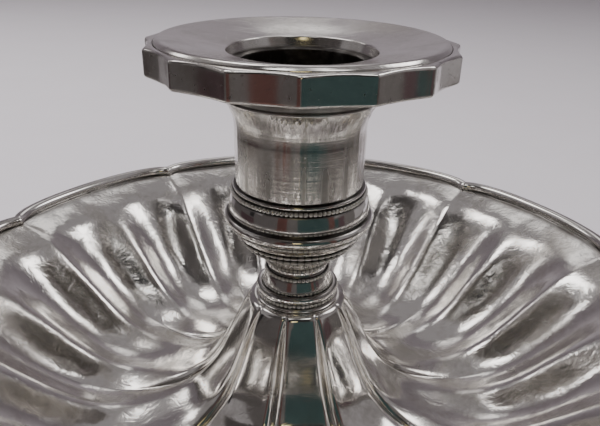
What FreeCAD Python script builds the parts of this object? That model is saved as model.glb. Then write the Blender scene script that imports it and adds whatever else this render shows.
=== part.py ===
"""Silver dish candlestick: a lobed dish with a fluted cone, a knopped stem, a socket and a loose nozzle.

Millimetres. The axis of the candlestick is Z, the foot stands on Z = 0 and +Y points to the back.
Angles go clockwise from the back, seen from above, so that +90 degrees is +X.
"""
import FreeCAD, Part
import math
import os

# ---- driving dimensions -------------------------------------------------------------------------
DISH_RADIUS = 79.0        # to the outside of the sheet, between two cusps of the rim
SHEET = 0.9               # thickness of the raised sheet
SOLDER_GAP = 0.02         # film left between pieces that are soldered together
RUNNING_GAP = 0.06        # radial play of the nozzle's sleeve in the socket

MAJOR_COUNT = 10          # flutes on the cone, and cusps round the rim
LOBE_COUNT = 20           # lobes in the bowl, two for each flute
MAJOR_STEP = 360.0 / MAJOR_COUNT
LOBE_STEP = 360.0 / LOBE_COUNT
PATCH_STEP = LOBE_STEP / 2    # one surface patch reaches from a ridge to the middle of a lobe
PATCH_COLUMNS = 5             # poles across a patch, its shared edges included
FIRST_RIDGE = 4.0             # angle of the ridge that a rim cusp sits on
FIRST_CREASE = 13.0           # angle of a crease between two flutes of the cone
CUSP_DEPTH = 2.4              # how far a cusp draws the rim in
CUSP_SPREAD = 2.6             # degrees over which a cusp fades
RIDGE_HEIGHT = 3.0            # of the ridges between lobes, halfway up the wall
FLUTE_BULGE = 1.4             # of a flute between its creases, at the foot of the cone
FLUTE_FLATNESS = 0.35         # how far a flute's middle is flattened, as a share of its bulge
FLUTE_POWER = 5               # how late a flute rolls over into its creases

CONE_TOP_RADIUS = 9.4
CONE_TOP = 28.4               # height of the cone's flat top, on which the stem stands
TIE_HOLE_RADIUS = 2.15

FOOT_RADIUS = 36.0
FOOT_WIDTH = 2.4
FOOT_HEIGHT = 2.3

RIM_WIRE_WIDTH = 3.0
RIM_WIRE_HEIGHT = 1.6

# Rows of the dish's upper surface at the middle of a lobe, from the cone's top edge out to the rim:
# radius, height, share of FLUTE_BULGE, share of RIDGE_HEIGHT, share of the rim's cusps.
DISH_ROWS = [
    (CONE_TOP_RADIUS, CONE_TOP, 0.00, 0.00, 0.0),
    (10.1, 25.6, 0.65, 0.00, 0.0),
    (11.2, 21.8, 1.05, 0.00, 0.0),
    (12.9, 17.4, 1.15, 0.00, 0.0),
    (15.1, 13.0, 1.10, 0.00, 0.0),
    (18.2, 9.0, 1.00, 0.00, 0.0),
    (23.0, 5.8, 0.85, 0.02, 0.0),
    (29.0, 4.0, 0.55, 0.06, 0.0),
    (36.0, 3.3, 0.20, 0.18, 0.0),
    (42.0, 4.0, 0.05, 0.45, 0.0),
    (48.0, 6.4, 0.00, 0.75, 0.0),
    (54.0, 10.6, 0.00, 1.00, 0.0),
    (60.0, 16.2, 0.00, 0.95, 0.1),
    (64.8, 21.6, 0.00, 0.60, 0.3),
    (68.0, 25.2, 0.00, 0.10, 0.5),
    (72.0, 26.8, 0.00, 0.00, 0.8),
    (76.0, 28.0, 0.00, 0.00, 1.0),
    (DISH_RADIUS, 28.9, 0.00, 0.00, 1.0),
]

# Heights of the stem's stations, from the cone's top upwards.
COLLAR_TOP = 29.35
LOWER_KNOP_TOP = 37.1
UPPER_KNOP_TOP = 53.2
SOCKET_TOP = 69.7
SOCKET_BORE = 11.42
SOCKET_WALL = 0.55
SOCKET_FLARE_RADIUS = 13.9
SOCKET_FLARE_HEIGHT = 7.0
SOCKET_FLOOR_THICKNESS = 1.0

# Beaded rings: foot height, wire height, seat radius, how far the beads stand out.
BEAD_RINGS = {
    "foot_bead": (29.38, 0.70, 7.60, 0.70),
    "knop_bead_low": (31.52, 0.60, 6.65, 0.55),
    "knop_bead_high": (34.30, 0.80, 6.00, 0.80),
    "waist_bead": (36.35, 0.70, 5.85, 0.70),
    "taper_bead_low": (40.70, 0.60, 10.25, 0.60),
    "taper_bead_high": (42.30, 0.60, 11.50, 0.60),
    "bowl_bead_low": (44.85, 0.65, 13.00, 0.65),
    "bowl_bead_high": (47.90, 0.60, 12.90, 0.60),
    "coarse_bead": (51.35, 1.00, 12.35, 0.75),
}
KNOP_TORUS = (45.65, 1.95, 12.90, 1.40, 0.14)   # the large round moulding, in the same terms, and its bulge
NECK_RING = (52.40, 0.78, 11.60, 0.95)      # the half-round wire at the foot of the socket
BEAD_GROOVE = 0.3                           # depth of the dark groove over the large half-round
LOWER_KNOP_BAND = (7.05, 6.25)              # radius of the lower knop's plain band, foot and top

# Nozzle: a loose drip plate with a sleeve that drops into the socket.
NOZZLE_SEAT = SOCKET_TOP + 0.05
BAND_BOTTOM = 74.3
BAND_TOP = 79.0
BAND_SIDES = 16               # hollow sides, with a corner straight to the back and to the front
BAND_CORNER_RADIUS = 27.1
BAND_HOLLOW_RADIUS = 25.95    # at the middle of a side
BAND_CORNER_ROUNDING = 0.4
BAND_EDGE_RADIUS = 0.75
DISC_RADIUS = 25.0
DISC_TOP = 79.7
DISC_SEAT = 77.0              # floor of the recess in the band that takes the disc
DISC_HUB_RADIUS = 14.4        # of the hub under the disc, where it passes through the band
LIP_RADIUS = 13.0             # of the hole's wall, below its rounded lip
LIP_FOOT = 76.7               # where the rounded lip becomes the hole's wall
LEDGE_HEIGHT = 75.6           # of the ledge inside the hole, over the sleeve
SLEEVE_OUTER = SOCKET_BORE - RUNNING_GAP
SLEEVE_WALL = 0.5
SLEEVE_BOTTOM = 60.0
SLEEVE_TOP = 75.4
UNDER_RING_RADIUS = 14.4

# Tie screw through socket floor, stem and cone.
SCREW_RADIUS = 2.0
SCREW_HEAD_RADIUS = 3.9
SCREW_HEAD_HEIGHT = 1.8
SCREW_SLOT_WIDTH = 0.9
SCREW_END = 20.5
WASHER_RADIUS = 5.2
WASHER_THICKNESS = 0.8
NUT_ACROSS_FLATS = 7.0
NUT_HEIGHT = 3.0

AXIS = FreeCAD.Vector(0, 0, 1)
ORIGIN = FreeCAD.Vector(0, 0, 0)


# ---- general helpers ----------------------------------------------------------------------------
def around(radius, angle, height):
    """Point at an angle clockwise from the back."""
    turn = math.radians(angle)
    return FreeCAD.Vector(radius * math.sin(turn), radius * math.cos(turn), height)


def turned(outline):
    """Solid turned from a closed outline of (radius, height) corners. A corner that starts with
    "arc" is the middle point of an arc between its neighbours."""
    edges = []
    start = outline[0]
    through = None
    for corner in outline[1:] + [outline[0]]:
        if corner[0] == "arc":
            through = corner[1:]
            continue
        first, last = (FreeCAD.Vector(r, 0, h) for r, h in (start, corner))
        if through:
            middle = FreeCAD.Vector(through[0], 0, through[1])
            edges.append(Part.Arc(first, middle, last).toShape())
        else:
            edges.append(Part.makeLine(first, last))
        start = corner
        through = None
    face = Part.Face(Part.Wire(edges))
    return face.revolve(ORIGIN, AXIS, 360)


def half_round_ring(foot, height, seat_radius, stand_out, bulge=0.5):
    """Wire bent round a seat, with its flat side inwards. The outside bulges by a share of its height."""
    inner = seat_radius + SOLDER_GAP
    outer = seat_radius + stand_out
    round_start = max(outer - bulge * height, inner + 0.05)
    return turned([
        (inner, foot),
        (round_start, foot),
        ("arc", outer, foot + height / 2),
        (round_start, foot + height),
        (inner, foot + height),
    ])


def cylinder(radius, bottom, top):
    return Part.makeCylinder(radius, top - bottom, FreeCAD.Vector(0, 0, bottom))


def tube(inner, outer, bottom, top):
    return turned([(inner, bottom), (outer, bottom), (outer, top), (inner, top)])


# ---- dish ---------------------------------------------------------------------------------------
def ridge_share(angle):
    """1 on a ridge between two lobes, falling to 0 along the middle of a lobe."""
    across = ((angle - FIRST_RIDGE) % LOBE_STEP) / LOBE_STEP
    return 1 - math.sin(math.pi * across)


def flute_share(angle):
    """0 in a crease of the cone, rising to 1 over the flattened middle of a flute."""
    across = ((angle - FIRST_CREASE) % MAJOR_STEP) / MAJOR_STEP
    off = abs(2 * across - 1)
    return 1 + FLUTE_FLATNESS * off ** 2 - (1 + FLUTE_FLATNESS) * off ** FLUTE_POWER


def cusp_share(angle):
    """1 at a cusp of the rim, fading within a few degrees."""
    away = (angle - FIRST_RIDGE) % MAJOR_STEP
    away = min(away, MAJOR_STEP - away)
    return math.exp(-away / CUSP_SPREAD)


def row_normals():
    """Upward normal of the dish's rows in the radial plane, as (radius, height) parts."""
    line = [(CONE_TOP_RADIUS - SHEET, CONE_TOP)] + [row[:2] for row in DISH_ROWS]
    line.append((2 * line[-1][0] - line[-2][0], 2 * line[-1][1] - line[-2][1]))
    normals = []
    for before, after in zip(line, line[2:]):
        along_r = after[0] - before[0]
        along_h = after[1] - before[1]
        length = math.hypot(along_r, along_h)
        normals.append((-along_h / length, along_r / length))
    return normals


def dish_point(row, normal, angle, drop):
    """Point of the dish at a row and angle, dropped by some thickness below the upper surface."""
    radius, height, flute, ridge, cusp = row
    lift = flute * FLUTE_BULGE * flute_share(angle) + ridge * RIDGE_HEIGHT * ridge_share(angle) - drop
    radius = radius + lift * normal[0] - cusp * CUSP_DEPTH * cusp_share(angle)
    return around(radius, angle, height + lift * normal[1])


def patch_angles(index):
    start = FIRST_RIDGE + index * PATCH_STEP
    return [start + PATCH_STEP * column / (PATCH_COLUMNS - 1) for column in range(PATCH_COLUMNS)]


def clamped_knots(pole_count, degree):
    """Knots and multiplicities of a clamped uniform B-spline."""
    spans = pole_count - degree
    knots = [float(i) for i in range(spans + 1)]
    return knots, [degree + 1] + [1] * (spans - 1) + [degree + 1]


def patch_face(poles):
    """B-spline face on a grid of poles, which shares its border curves with its neighbours."""
    degrees = [min(3, len(poles) - 1), min(3, len(poles[0]) - 1)]
    u_knots, u_mults = clamped_knots(len(poles), degrees[0])
    v_knots, v_mults = clamped_knots(len(poles[0]), degrees[1])
    surface = Part.BSplineSurface()
    surface.buildFromPolesMultsKnots(poles, u_mults, v_mults, u_knots, v_knots, False, False, *degrees)
    return surface.toShape()


def ring_of_patches(point_rows):
    """Faces all round the dish. point_rows(angle) gives one column of poles."""
    patch_count = round(360 / PATCH_STEP)
    return [patch_face([point_rows(angle) for angle in patch_angles(index)])
            for index in range(patch_count)]


def ring_edges(point):
    """Closed wire all round, through one pole row of the patches."""
    edges = []
    for index in range(round(360 / PATCH_STEP)):
        curve = Part.BSplineCurve()
        poles = [point(angle) for angle in patch_angles(index)]
        knots, mults = clamped_knots(len(poles), 3)
        curve.buildFromPolesMultsKnots(poles, mults, knots, False, 3)
        edges.append(curve.toShape())
    return Part.Wire(edges)


def sewn_solid(faces):
    shell = Part.makeShell(faces)
    shell.sewShape()
    solid = Part.makeSolid(shell)
    if solid.Volume < 0:
        solid.reverse()
    return solid


def make_dish():
    normals = row_normals()

    def column(angle, drop):
        return [dish_point(row, normal, angle, drop) for row, normal in zip(DISH_ROWS, normals)]

    faces = ring_of_patches(lambda angle: column(angle, 0))
    faces += ring_of_patches(lambda angle: column(angle, SHEET))
    faces += ring_of_patches(lambda angle: [column(angle, 0)[-1], column(angle, SHEET)[-1]])
    levels = []
    for drop in (0, SHEET):
        border = ring_edges(lambda angle: column(angle, drop)[0])
        level = border.Vertexes[0].Z
        hole = Part.Wire(Part.makeCircle(TIE_HOLE_RADIUS, FreeCAD.Vector(0, 0, level)))
        faces.append(Part.Face([border, hole]))
        levels.append(level)
    hole_wall = Part.makeCylinder(TIE_HOLE_RADIUS, levels[0] - levels[1],
                                  FreeCAD.Vector(0, 0, levels[1])).Faces[0]
    faces.append(hole_wall)
    return sewn_solid(faces)


def make_rim_wire():
    """Half-round wire that follows the scalloped border, with its flat side on the sheet."""
    outer_row, inner_row = DISH_ROWS[-1], DISH_ROWS[-2]
    slope = math.atan2(outer_row[1] - inner_row[1], outer_row[0] - inner_row[0])

    def section_point(angle, across, up):
        """across runs from 0 at the wire's outside to 1 at its inside."""
        inward = across * RIM_WIRE_WIDTH
        lift = up * RIM_WIRE_HEIGHT + SOLDER_GAP
        radius = outer_row[0] - inward * math.cos(slope) - lift * math.sin(slope)
        height = outer_row[1] - inward * math.sin(slope) + lift * math.cos(slope)
        return around(radius - CUSP_DEPTH * cusp_share(angle), angle, height)

    crown = [(0.0, 0.0), (-0.02, 0.75), (0.22, 1.12), (0.5, 1.2), (0.78, 1.12), (1.02, 0.75), (1.0, 0.0)]
    faces = ring_of_patches(lambda angle: [section_point(angle, *at) for at in crown])
    faces += ring_of_patches(lambda angle: [section_point(angle, 0, 0), section_point(angle, 1, 0)])
    return sewn_solid(faces)


def make_foot_ring():
    inner = FOOT_RADIUS - FOOT_WIDTH / 2
    outer = FOOT_RADIUS + FOOT_WIDTH / 2
    return turned([
        (inner, 0.0),
        (outer, 0.0),
        ("arc", outer + 0.35, FOOT_HEIGHT / 2),
        (outer - 0.5, FOOT_HEIGHT),
        (inner + 0.5, FOOT_HEIGHT),
        ("arc", inner - 0.35, FOOT_HEIGHT / 2),
    ])


# ---- stem ---------------------------------------------------------------------------------------
def seat(name):
    """Radius, foot and top of the land that a beaded ring sits on."""
    foot, height, radius, _ = BEAD_RINGS[name]
    return radius, foot, foot + height


def make_stem_collar():
    bottom = CONE_TOP + SOLDER_GAP
    return turned([
        (TIE_HOLE_RADIUS, bottom),
        (8.7, bottom),
        ("arc", 7.9, (bottom + COLLAR_TOP) / 2),
        (8.2, COLLAR_TOP),
        (TIE_HOLE_RADIUS, COLLAR_TOP),
    ])


def make_lower_knop():
    foot_seat, foot_low, foot_high = seat("foot_bead")
    low_seat, low_low, low_high = seat("knop_bead_low")
    high_seat, high_low, high_high = seat("knop_bead_high")
    waist_seat, waist_low, waist_high = seat("waist_bead")
    return turned([
        (TIE_HOLE_RADIUS, foot_low),
        (foot_seat, foot_low),
        (foot_seat, foot_high + SOLDER_GAP),
        ("arc", 8.3, (foot_high + low_low) / 2),
        (low_seat + 0.4, low_low - SOLDER_GAP),
        (low_seat, low_low - SOLDER_GAP),
        (low_seat, low_high + SOLDER_GAP),
        (LOWER_KNOP_BAND[0], low_high + SOLDER_GAP),
        ("arc", sum(LOWER_KNOP_BAND) / 2 + 0.05, (low_high + high_low) / 2),
        (LOWER_KNOP_BAND[1], high_low - SOLDER_GAP),
        (high_seat, high_low - SOLDER_GAP),
        (high_seat, high_high + SOLDER_GAP),
        ("arc", 5.75, (high_high + waist_low) / 2),
        (waist_seat, waist_low - SOLDER_GAP),
        (waist_seat, waist_high),
        (TIE_HOLE_RADIUS, waist_high),
    ])


def make_upper_knop():
    low_seat, low_low, low_high = seat("taper_bead_low")
    high_seat, high_low, high_high = seat("taper_bead_high")
    under_seat, under_low, under_high = seat("bowl_bead_low")
    over_seat, over_low, over_high = seat("bowl_bead_high")
    coarse_seat, coarse_low, coarse_high = seat("coarse_bead")
    torus_low, torus_height, torus_seat = KNOP_TORUS[:3]
    neck_low, _, neck_seat, _ = NECK_RING
    bottom = LOWER_KNOP_TOP + SOLDER_GAP
    return turned([
        (TIE_HOLE_RADIUS, bottom),
        (6.3, bottom),
        ("arc", 8.0, (bottom + low_low) / 2 + 0.1),
        (low_seat, low_low - SOLDER_GAP),
        (low_seat, low_high + SOLDER_GAP),
        (high_seat, high_low - SOLDER_GAP),
        (high_seat, high_high + SOLDER_GAP),
        ("arc", 12.55, (high_high + under_low) / 2),
        (under_seat, under_low - SOLDER_GAP),
        (under_seat, under_high + SOLDER_GAP),
        (torus_seat, under_high + SOLDER_GAP),
        (torus_seat, torus_low + torus_height + SOLDER_GAP),
        (over_seat - BEAD_GROOVE, torus_low + torus_height + SOLDER_GAP),
        (over_seat - BEAD_GROOVE, over_low - SOLDER_GAP),
        (over_seat, over_low - SOLDER_GAP),
        (over_seat, over_high + SOLDER_GAP),
        (13.15, over_high + SOLDER_GAP),
        ("arc", 13.5, (over_high + coarse_low) / 2),
        (12.9, coarse_low - SOLDER_GAP),
        (coarse_seat, coarse_low - SOLDER_GAP),
        (coarse_seat, coarse_high + SOLDER_GAP),
        (neck_seat, coarse_high + SOLDER_GAP),
        (neck_seat, UPPER_KNOP_TOP),
        (TIE_HOLE_RADIUS, UPPER_KNOP_TOP),
    ])


def make_socket_tube():
    foot = UPPER_KNOP_TOP + SOLDER_GAP
    outer = SOCKET_BORE + SOCKET_WALL
    return turned([
        (SOCKET_BORE, foot),
        (outer, foot),
        (outer + 0.12, SOCKET_TOP - SOCKET_FLARE_HEIGHT),
        ("arc", outer + 0.6, SOCKET_TOP - 0.4 * SOCKET_FLARE_HEIGHT),
        (SOCKET_FLARE_RADIUS, SOCKET_TOP),
        (SOCKET_BORE + 0.6, SOCKET_TOP),
        (SOCKET_BORE, SOCKET_TOP - 0.6),
    ])


def make_socket_floor():
    bottom = UPPER_KNOP_TOP + SOLDER_GAP
    return tube(TIE_HOLE_RADIUS, SOCKET_BORE - SOLDER_GAP, bottom, bottom + SOCKET_FLOOR_THICKNESS)


# ---- nozzle -------------------------------------------------------------------------------------
def band_outline():
    """Corners joined by hollow sides."""
    step = 360.0 / BAND_SIDES
    edges = []
    for index in range(BAND_SIDES):
        start = around(BAND_CORNER_RADIUS, index * step, BAND_BOTTOM)
        middle = around(BAND_HOLLOW_RADIUS, (index + 0.5) * step, BAND_BOTTOM)
        end = around(BAND_CORNER_RADIUS, (index + 1) * step, BAND_BOTTOM)
        edges.append(Part.Arc(start, middle, end).toShape())
    return Part.Wire(edges)


def make_nozzle_band():
    slab = Part.Face(band_outline()).extrude(FreeCAD.Vector(0, 0, BAND_TOP - BAND_BOTTOM))
    corners = [edge for edge in slab.Edges if edge.BoundBox.ZLength > 1]
    slab = slab.makeFillet(BAND_CORNER_ROUNDING, corners)
    top_edges = [edge for edge in slab.Edges if edge.BoundBox.ZMin > BAND_TOP - 0.001]
    slab = slab.makeFillet(BAND_EDGE_RADIUS, top_edges)
    slab = slab.cut(cylinder(DISC_RADIUS + SOLDER_GAP, DISC_SEAT, BAND_TOP + 1))
    return slab.cut(cylinder(DISC_HUB_RADIUS + SOLDER_GAP, BAND_BOTTOM - 1, BAND_TOP + 1))


def make_nozzle_disc():
    """Disc with a bevelled edge, dished towards a rounded lip, and a hub that stands on the sleeve."""
    bottom = DISC_SEAT + SOLDER_GAP
    hub = DISC_HUB_RADIUS - 0.3
    hub_foot = SLEEVE_TOP + SOLDER_GAP
    sleeve_inner = SLEEVE_OUTER - SLEEVE_WALL
    return turned([
        (DISC_RADIUS, bottom),
        (DISC_RADIUS, DISC_TOP - 0.6),
        (DISC_RADIUS - 0.55, DISC_TOP - 0.1),
        (DISC_RADIUS - 0.9, DISC_TOP),
        (LIP_RADIUS + 2.5, LIP_FOOT + 1.4),
        ("arc", LIP_RADIUS + 0.6, LIP_FOOT + 0.9),
        (LIP_RADIUS, LIP_FOOT),
        (LIP_RADIUS - 0.4, LEDGE_HEIGHT),
        (sleeve_inner, LEDGE_HEIGHT - 0.1),
        (sleeve_inner, hub_foot),
        (hub, hub_foot),
        (hub, bottom),
    ])


def make_nozzle_under_ring():
    top = BAND_BOTTOM - SOLDER_GAP
    return turned([
        (SLEEVE_OUTER + SOLDER_GAP, NOZZLE_SEAT),
        (UNDER_RING_RADIUS, NOZZLE_SEAT),
        (UNDER_RING_RADIUS + 0.1, NOZZLE_SEAT + 1.1),
        ("arc", UNDER_RING_RADIUS + 0.5, NOZZLE_SEAT + 3.0),
        (UNDER_RING_RADIUS + 2.6, top),
        (SLEEVE_OUTER + SOLDER_GAP, top),
    ])


def make_nozzle_sleeve():
    return tube(SLEEVE_OUTER - SLEEVE_WALL, SLEEVE_OUTER, SLEEVE_BOTTOM, SLEEVE_TOP)


# ---- fastening ----------------------------------------------------------------------------------
def make_tie_screw():
    head_bottom = UPPER_KNOP_TOP + SOCKET_FLOOR_THICKNESS + 2 * SOLDER_GAP
    head_top = head_bottom + SCREW_HEAD_HEIGHT
    screw = turned([
        (0, SCREW_END),
        (SCREW_RADIUS - 0.4, SCREW_END),
        (SCREW_RADIUS, SCREW_END + 0.4),
        (SCREW_RADIUS, head_bottom),
        (SCREW_HEAD_RADIUS, head_bottom),
        (SCREW_HEAD_RADIUS, head_bottom + 0.7),
        ("arc", 2.6, head_top - 0.3),
        (0, head_top),
    ])
    slot = Part.makeBox(2 * SCREW_HEAD_RADIUS, SCREW_SLOT_WIDTH, SCREW_HEAD_HEIGHT)
    slot.translate(FreeCAD.Vector(-SCREW_HEAD_RADIUS, -SCREW_SLOT_WIDTH / 2, head_top - 1.0))
    return screw.cut(slot)


def make_tie_washer():
    top = CONE_TOP - SHEET - 0.1
    return tube(TIE_HOLE_RADIUS, WASHER_RADIUS, top - WASHER_THICKNESS, top)


def make_tie_nut():
    top = CONE_TOP - SHEET - 0.1 - WASHER_THICKNESS - SOLDER_GAP
    corner = NUT_ACROSS_FLATS / 2 / math.cos(math.radians(30))
    corners = [around(corner, 60 * index, top - NUT_HEIGHT) for index in range(7)]
    body = Part.Face(Part.makePolygon(corners)).extrude(FreeCAD.Vector(0, 0, NUT_HEIGHT))
    chamfer = turned([
        (0, top - NUT_HEIGHT),
        (corner - 0.5, top - NUT_HEIGHT),
        (corner, top - NUT_HEIGHT + 0.35),
        (corner, top - 0.35),
        (corner - 0.5, top),
        (0, top),
    ])
    return body.common(chamfer).cut(cylinder(SCREW_RADIUS + 0.01, top - NUT_HEIGHT - 1, top + 1))


def make_parts():
    parts = {
        "dish": make_dish(),
        "rim_wire": make_rim_wire(),
        "foot_ring": make_foot_ring(),
        "stem_collar": make_stem_collar(),
        "lower_knop": make_lower_knop(),
        "upper_knop": make_upper_knop(),
        "knop_torus": half_round_ring(*KNOP_TORUS),
        "neck_ring": half_round_ring(*NECK_RING),
        "socket_tube": make_socket_tube(),
        "socket_floor": make_socket_floor(),
        "nozzle_band": make_nozzle_band(),
        "nozzle_disc": make_nozzle_disc(),
        "nozzle_under_ring": make_nozzle_under_ring(),
        "nozzle_sleeve": make_nozzle_sleeve(),
        "tie_screw": make_tie_screw(),
        "tie_washer": make_tie_washer(),
        "tie_nut": make_tie_nut(),
    }
    for name, ring in BEAD_RINGS.items():
        parts[name] = half_round_ring(*ring)
    return parts


os.makedirs("parts", exist_ok=True)
for name, shape in make_parts().items():
    shape.exportStep(f"parts/{name}.step")
    print(name, shape.isValid(), len(shape.Solids), round(shape.Volume, 1))
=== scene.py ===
"""Looks of the silver dish candlestick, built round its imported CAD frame. Metres, the axis is Z."""
import math

import bpy
import numpy as np
from mathutils import Matrix, Vector, noise


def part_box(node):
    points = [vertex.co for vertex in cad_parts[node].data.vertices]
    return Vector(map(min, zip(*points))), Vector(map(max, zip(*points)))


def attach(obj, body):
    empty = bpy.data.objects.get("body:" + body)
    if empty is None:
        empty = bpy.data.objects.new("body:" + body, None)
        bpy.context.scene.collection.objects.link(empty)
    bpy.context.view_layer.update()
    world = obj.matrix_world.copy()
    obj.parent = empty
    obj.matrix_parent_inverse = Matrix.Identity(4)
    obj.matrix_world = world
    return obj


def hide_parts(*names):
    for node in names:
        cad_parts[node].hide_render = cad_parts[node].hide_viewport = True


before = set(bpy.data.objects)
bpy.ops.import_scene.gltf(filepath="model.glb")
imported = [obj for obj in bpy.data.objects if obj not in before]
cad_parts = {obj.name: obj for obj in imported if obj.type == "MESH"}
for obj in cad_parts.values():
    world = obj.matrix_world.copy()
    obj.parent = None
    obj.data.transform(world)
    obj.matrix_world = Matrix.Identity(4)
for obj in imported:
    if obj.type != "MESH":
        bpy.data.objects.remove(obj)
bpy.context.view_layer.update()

MM = 0.001

# ---- shapes, in millimetres and degrees: the CAD's values, or close to them --------------------------
MAJOR_STEP = 36.0
LOBE_STEP = 18.0
FIRST_RIDGE = 4.0
FIRST_CREASE = 13.0
CUSP_DEPTH = 2.4
CUSP_SPREAD = 2.6
RIDGE_HEIGHT = 3.0
FLUTE_BULGE = 1.4
FLUTE_FLATNESS = 0.35
FLUTE_POWER = 11              # how late a flute rolls over: its creases are crisper than the CAD's
SHEET = 0.9                   # thickness of the dish
CONE_TOP_RADIUS = 9.4
CONE_TOP = 28.4
TIE_HOLE_RADIUS = 2.15        # of the hole for the screw through the cone and the stem
GAP = 0.02                    # film of solder between two pieces
RIDGE_SOFTNESS = 0.42         # how blunt the ridges between the lobes are; the CAD's are sharp, which is 0
BAND_SIDES = 16               # hollow sides of the drip plate
BAND_CORNER = 27.1
BAND_HOLLOW = 25.9
BAND_MEAN = 26.5
BAND_TOP_ROUND = 1.35         # fillets of the drip plate's upper and lower edge
BAND_FOOT_ROUND = 0.6
DISC_SEAT = 77.0              # floor of the recess that takes the disc
HUB_RADIUS = 14.1             # of the hub under the disc
HUB_HOLE_RADIUS = 14.42       # of the drip plate's hole round it
LIP_RADIUS = 13.1             # the candle hole lies inside this
SLEEVE_WALL = 0.5
SOCKET_BORE = 11.42
SOCKET_WALL = 0.55
SOCKET_FLARE = 13.9           # outer radius of the socket's mouth
RIM_WIDTH = 3.0
RIM_HEIGHT = 1.6
FOOT_WIDTH = 3.1              # over its rounded sides
DISH_ROWS = [                 # radius, height, flute, ridge and cusp shares
    (CONE_TOP_RADIUS, CONE_TOP, 0.00, 0.00, 0.0),
    (10.1, 25.6, 0.65, 0.00, 0.0),
    (11.2, 21.8, 1.05, 0.00, 0.0),
    (12.9, 17.4, 1.15, 0.00, 0.0),
    (15.1, 13.0, 1.10, 0.00, 0.0),
    (18.2, 9.0, 1.00, 0.00, 0.0),
    (23.0, 5.8, 0.85, 0.02, 0.0),
    (29.0, 4.0, 0.55, 0.06, 0.0),
    (36.0, 3.3, 0.20, 0.18, 0.0),
    (42.0, 4.0, 0.05, 0.45, 0.0),
    (48.0, 6.4, 0.00, 0.75, 0.0),
    (54.0, 10.6, 0.00, 1.00, 0.0),
    (60.0, 16.2, 0.00, 0.95, 0.1),
    (64.8, 21.6, 0.00, 0.60, 0.3),
    (68.0, 25.2, 0.00, 0.10, 0.5),
    (72.0, 26.8, 0.00, 0.00, 0.8),
    (76.0, 28.0, 0.00, 0.00, 1.0),
    (79.0, 28.9, 0.00, 0.00, 1.0),
]


# ---- mesh helpers ---------------------------------------------------------------------------------
def new_object(name, vertices, faces, material, body):
    mesh = bpy.data.meshes.new(name)
    mesh.from_pydata(vertices, [], faces)
    mesh.validate()
    mesh.polygons.foreach_set("use_smooth", [True] * len(mesh.polygons))
    mesh.update()
    piece = bpy.data.objects.new(name, mesh)
    bpy.context.collection.objects.link(piece)
    piece.data.materials.append(material)
    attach(piece, body)
    return piece


def grid_faces(rows, columns):
    """Quads of a grid that closes on itself both ways."""
    row_index = np.arange(rows)
    column_index = np.arange(columns)
    a = row_index[:, None] * columns + column_index[None, :]
    b = row_index[:, None] * columns + (column_index[None, :] + 1) % columns
    c = ((row_index[:, None] + 1) % rows) * columns + (column_index[None, :] + 1) % columns
    d = ((row_index[:, None] + 1) % rows) * columns + column_index[None, :]
    return np.stack([a, b, c, d], -1).reshape(-1, 4)


def ring_mesh(name, section, columns, material, body, shape=None):
    """Closed section of (radius, height) points swept round the axis. shape(radius, height, angle)
    gives the point at an angle, so that beads, lobes and hammer marks are real geometry."""
    angles = np.arange(columns) * 2 * math.pi / columns
    radius = np.repeat(np.array([p[0] for p in section])[:, None], columns, 1)
    height = np.repeat(np.array([p[1] for p in section])[:, None], columns, 1)
    turn = np.repeat(angles[None, :], len(section), 0)
    if shape:
        radius, height = shape(radius, height, turn)
    points = np.stack([radius * np.sin(turn), radius * np.cos(turn), height], -1).reshape(-1, 3)
    faces = grid_faces(len(section), columns)
    return new_object(name, points.tolist(), faces.tolist(), material, body)


def rounded(corners, fillet, steps=6):
    """Closed outline with every corner rounded. A corner may carry its own fillet as a third value."""
    outline = []
    count = len(corners)
    for index in range(count):
        before = np.array(corners[index - 1][:2])
        here = np.array(corners[index][:2])
        after = np.array(corners[(index + 1) % count][:2])
        size = corners[index][2] if len(corners[index]) > 2 else fillet
        reach = min(size, 0.48 * np.linalg.norm(before - here), 0.48 * np.linalg.norm(after - here))
        start = here + (before - here) / max(np.linalg.norm(before - here), 1e-9) * reach
        end = here + (after - here) / max(np.linalg.norm(after - here), 1e-9) * reach
        for step in range(steps + 1):
            t = step / steps
            outline.append(tuple((1 - t) ** 2 * start + 2 * t * (1 - t) * here + t * t * end))
    return outline


def subdivided(outline, longest):
    """Adds points so that no side of the closed outline is longer than longest."""
    result = []
    for start, end in zip(outline, outline[1:] + outline[:1]):
        start, end = np.array(start), np.array(end)
        parts = max(1, math.ceil(np.linalg.norm(end - start) / longest))
        result += [tuple(start + (end - start) * i / parts) for i in range(parts)]
    return result


def span(node):
    """Outer radius, lowest and highest height of a turned CAD node."""
    low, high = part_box(node)
    return high.x, low.z, high.z


def node_points(node):
    return np.array([v.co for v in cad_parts[node].data.vertices])


def mark(piece, name, values):
    """Stores a number at every vertex for the piece's material."""
    layer = piece.data.attributes.new(name, "FLOAT", "POINT")
    layer.data.foreach_set("value", np.asarray(values).astype(np.float32))


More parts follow.
